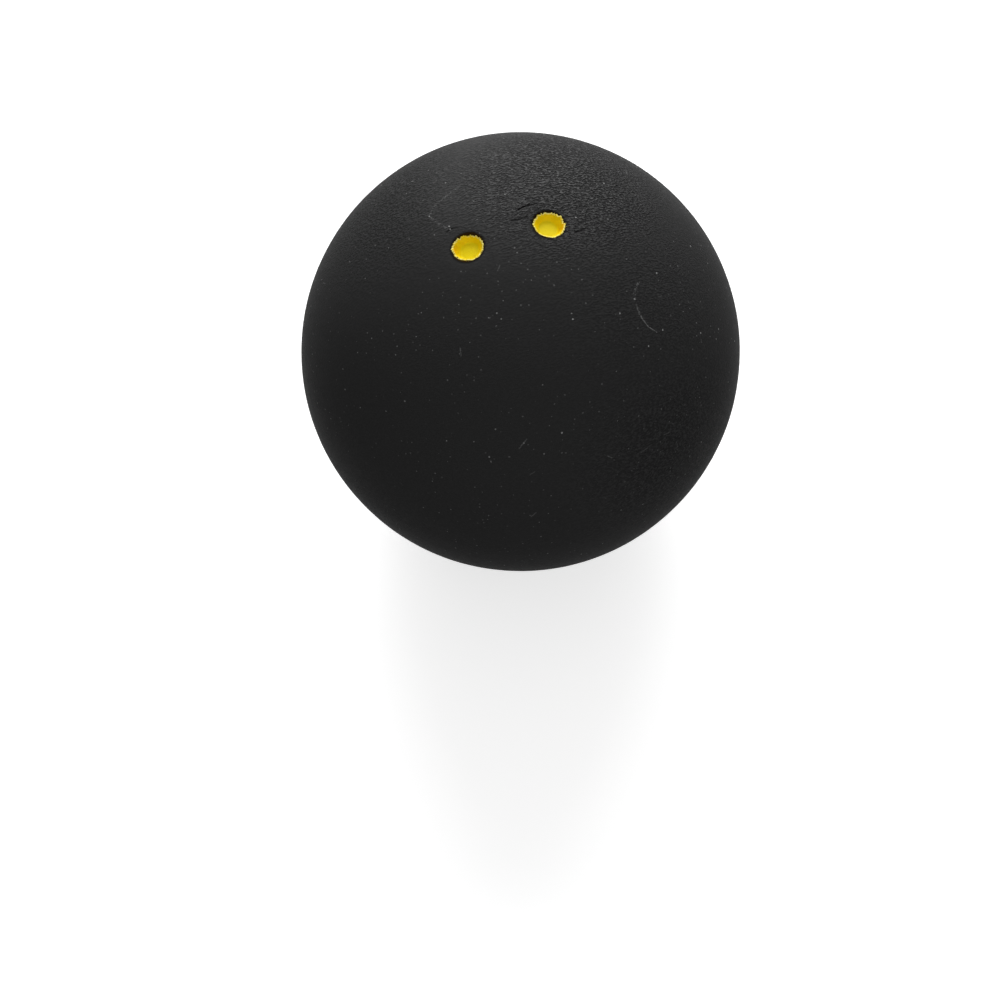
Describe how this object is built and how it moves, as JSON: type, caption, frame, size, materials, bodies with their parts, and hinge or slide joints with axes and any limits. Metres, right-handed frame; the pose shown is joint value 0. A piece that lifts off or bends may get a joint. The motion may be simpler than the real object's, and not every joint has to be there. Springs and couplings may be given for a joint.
{
  "type": "squash ball",
  "caption": "Hollow rubber squash ball, made of moulded half-shells cemented rim to rim round sealed air, with painted grade dots in small wells.",
  "frame": {"origin": "centre of the ball", "axes": "+Z out through the point midway between the two dots, +X from the left dot towards the right dot, seam in the XY plane"},
  "size_m": [0.04, 0.04, 0.04],
  "materials": {
    "black_rubber": "buffed matt, with a fine leather-like grain",
    "rubber_cement": "cured cement, buffed flush, slightly smoother than the rubber",
    "yellow_paint": "flexible satin paint, uneven at its edge"
  },
  "bodies": {
    "root": {"upper_half_shell": "black_rubber", "lower_half_shell": "black_rubber", "seam_cement": "rubber_cement", "left_dot_paint": "yellow_paint", "right_dot_paint": "yellow_paint"}
  },
  "joints": []
}
